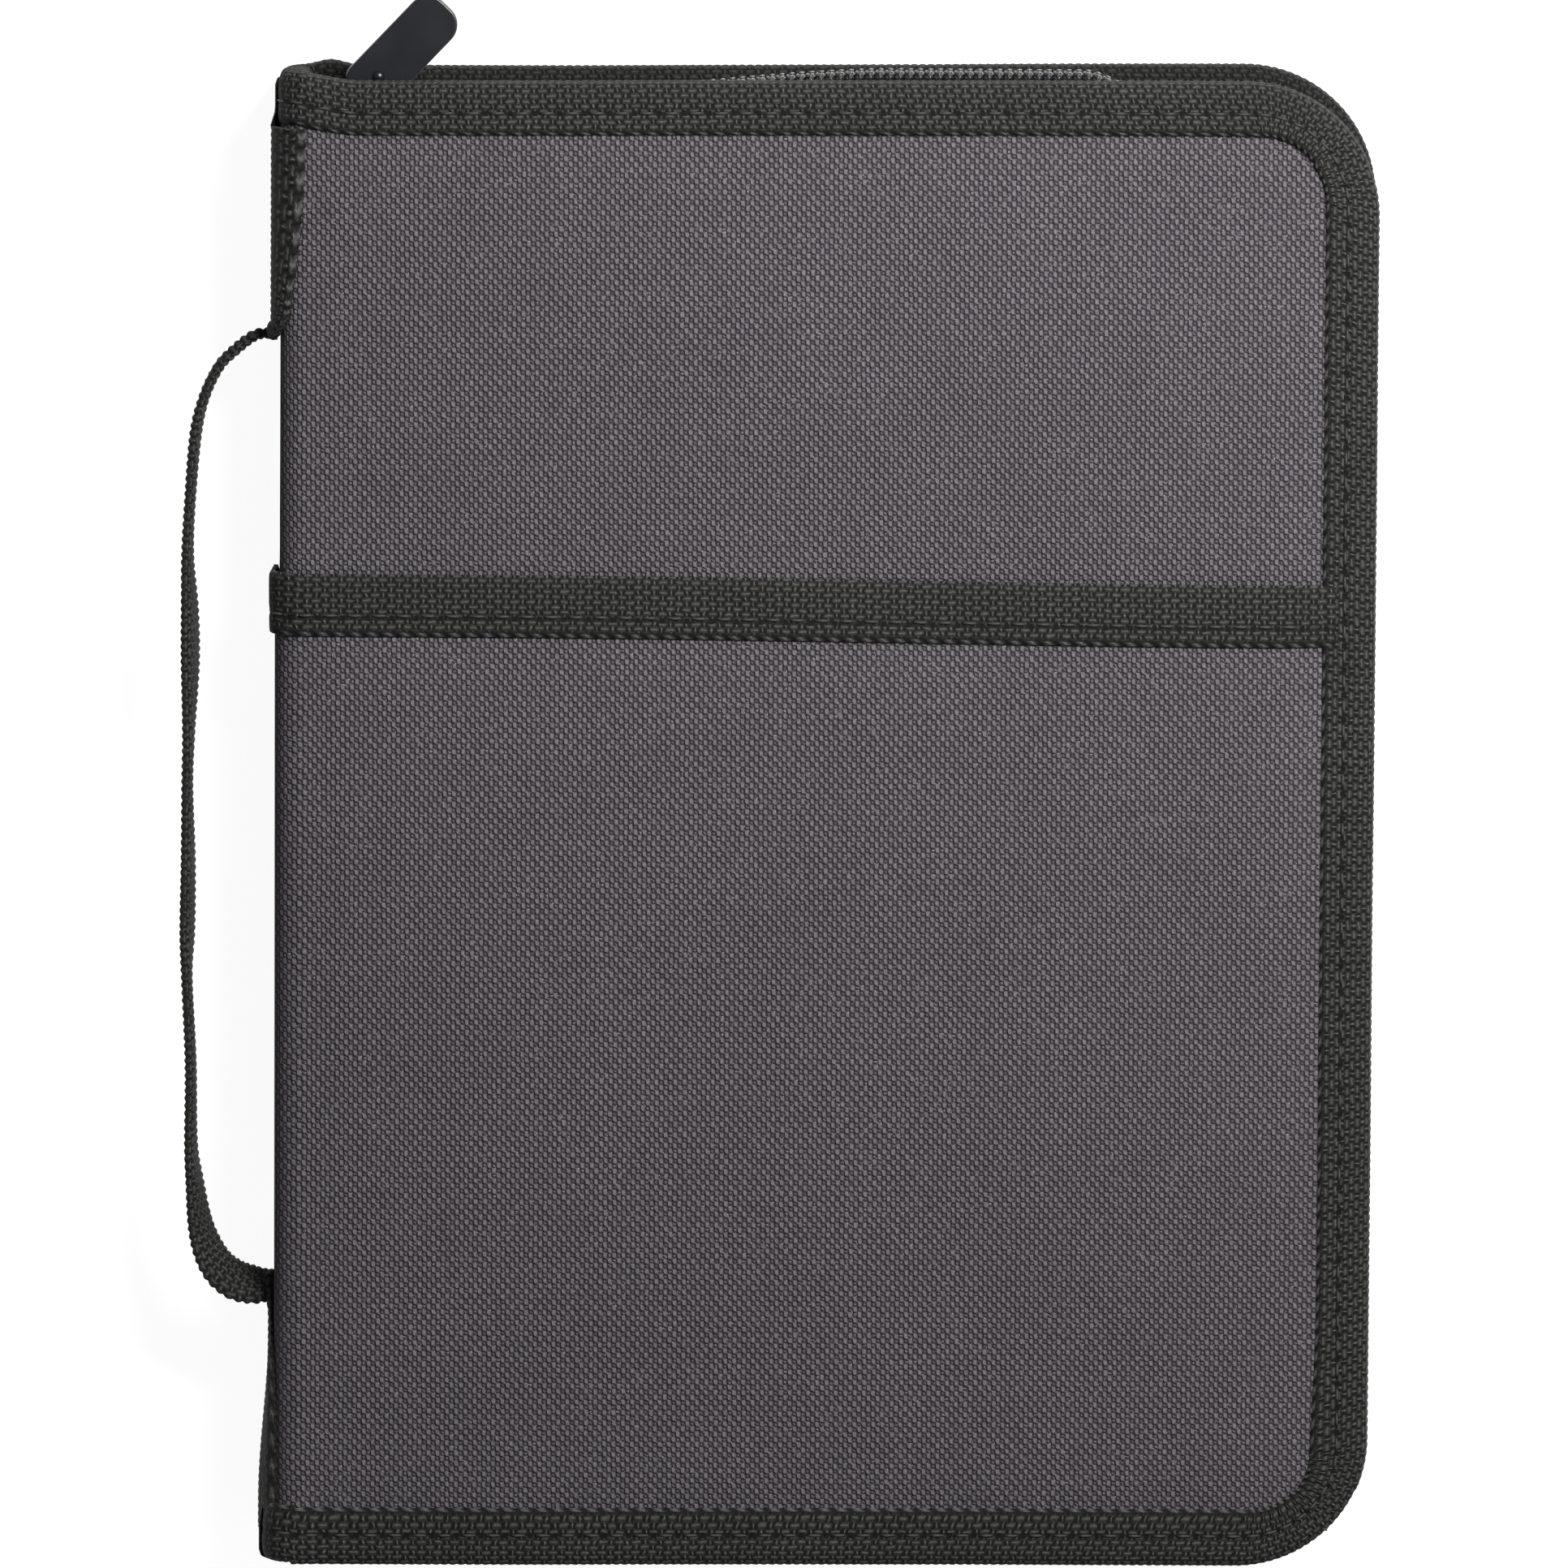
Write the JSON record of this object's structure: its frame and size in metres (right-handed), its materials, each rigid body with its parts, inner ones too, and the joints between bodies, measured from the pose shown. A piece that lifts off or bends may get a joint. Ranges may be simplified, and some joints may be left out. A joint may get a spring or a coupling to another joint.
{
  "type": "refillable journal",
  "caption": "Zip-around fabric journal case with an outer pocket and a webbing handle on its spine, holding a hardcover refill.",
  "frame": {"origin": "centre of the back cover's outer face, which the closed case lies on", "axes": "+X from the spine to the fore edge, +Y to the top edge, +Z out of the front cover"},
  "size_m": [0.1798, 0.2377, 0.0287],
  "materials": {
    "canvas": "plain woven polyester canvas",
    "foam": "thin padding",
    "greyboard": "pressed board",
    "lining_cloth": "smooth woven lining",
    "woven_tape": "ribbed woven tape",
    "zip_coil": "wound nylon coil",
    "steel": "plain steel",
    "slider_metal": "satin black",
    "pull_enamel": "satin black enamel",
    "cover_cloth": "cloth over board",
    "paper": "cut paper edge"
  },
  "bodies": {
    "back_cover": {"back_outer_canvas": "canvas", "back_padding": "foam", "back_board": "greyboard", "back_lining": "lining_cloth", "back_edge_binding": "woven_tape", "back_zip_tape": "woven_tape", "back_zip_coil": "zip_coil", "back_zip_top_stop": "steel", "back_zip_bottom_stop": "steel", "back_sleeve": "lining_cloth", "refill_back_cover": "cover_cloth", "resting_leaves": "paper"},
    "spine": {"spine_outer_canvas": "canvas", "spine_padding": "foam", "spine_board": "greyboard", "spine_lining": "lining_cloth", "spine_top_binding": "woven_tape", "spine_bottom_binding": "woven_tape", "upper_handle_anchor": "woven_tape", "lower_handle_anchor": "woven_tape", "refill_spine": "cover_cloth"},
    "front_cover": {"front_outer_canvas": "canvas", "front_padding": "foam", "front_board": "greyboard", "front_lining": "lining_cloth", "front_edge_binding": "woven_tape", "front_zip_tape": "woven_tape", "front_zip_coil": "zip_coil", "front_zip_top_stop": "steel", "front_zip_bottom_stop": "steel", "front_sleeve": "lining_cloth", "refill_front_cover": "cover_cloth", "outer_pocket": "canvas", "pocket_mouth_binding": "woven_tape", "pen_loop": "woven_tape"},
    "zip_slider": {"zip_slider": "slider_metal"},
    "zip_pull": {"pull_pin": "steel", "pull_tab": "pull_enamel"},
    "handle": {"handle_strap": "woven_tape"},
    "leaves": {"turning_leaves": "paper"}
  },
  "joints": [
    {"name": "spine_fold", "type": "hinge", "parent": "back_cover", "child": "spine", "pos_m": [-0.08133, 0, 0.00117], "axis": [0, -1, 0], "range_deg": [0, 90]},
    {"name": "front_fold", "type": "hinge", "parent": "spine", "child": "front_cover", "pos_m": [-0.08133, 0, 0.02483], "axis": [0, -1, 0], "range_deg": [0, 90]},
    {"name": "leaves_turn", "type": "hinge", "parent": "back_cover", "child": "leaves", "pos_m": [-0.0763, 0, 0.013], "axis": [0, -1, 0], "range_deg": [0, 180]},
    {"name": "zip_slide", "type": "slide", "parent": "back_cover", "child": "zip_slider", "axis": [1, 0, 0], "range_m": [0, 0.123]},
    {"name": "pull_swing", "type": "hinge", "parent": "zip_slider", "child": "zip_pull", "pos_m": [-0.068, 0.1126, 0.013], "axis": [0, 0, 1], "range_deg": [-25, 100]},
    {"name": "handle_swing", "type": "hinge", "parent": "spine", "child": "handle", "pos_m": [-0.0843, 0, 0.017], "axis": [0, 1, 0], "range_deg": [-40, 40]}
  ],
  "couplings": [
    {"joint": "front_fold", "follows": "spine_fold", "ratio": 1},
    {"joint": "leaves_turn", "follows": "spine_fold", "ratio": 2}
  ]
}
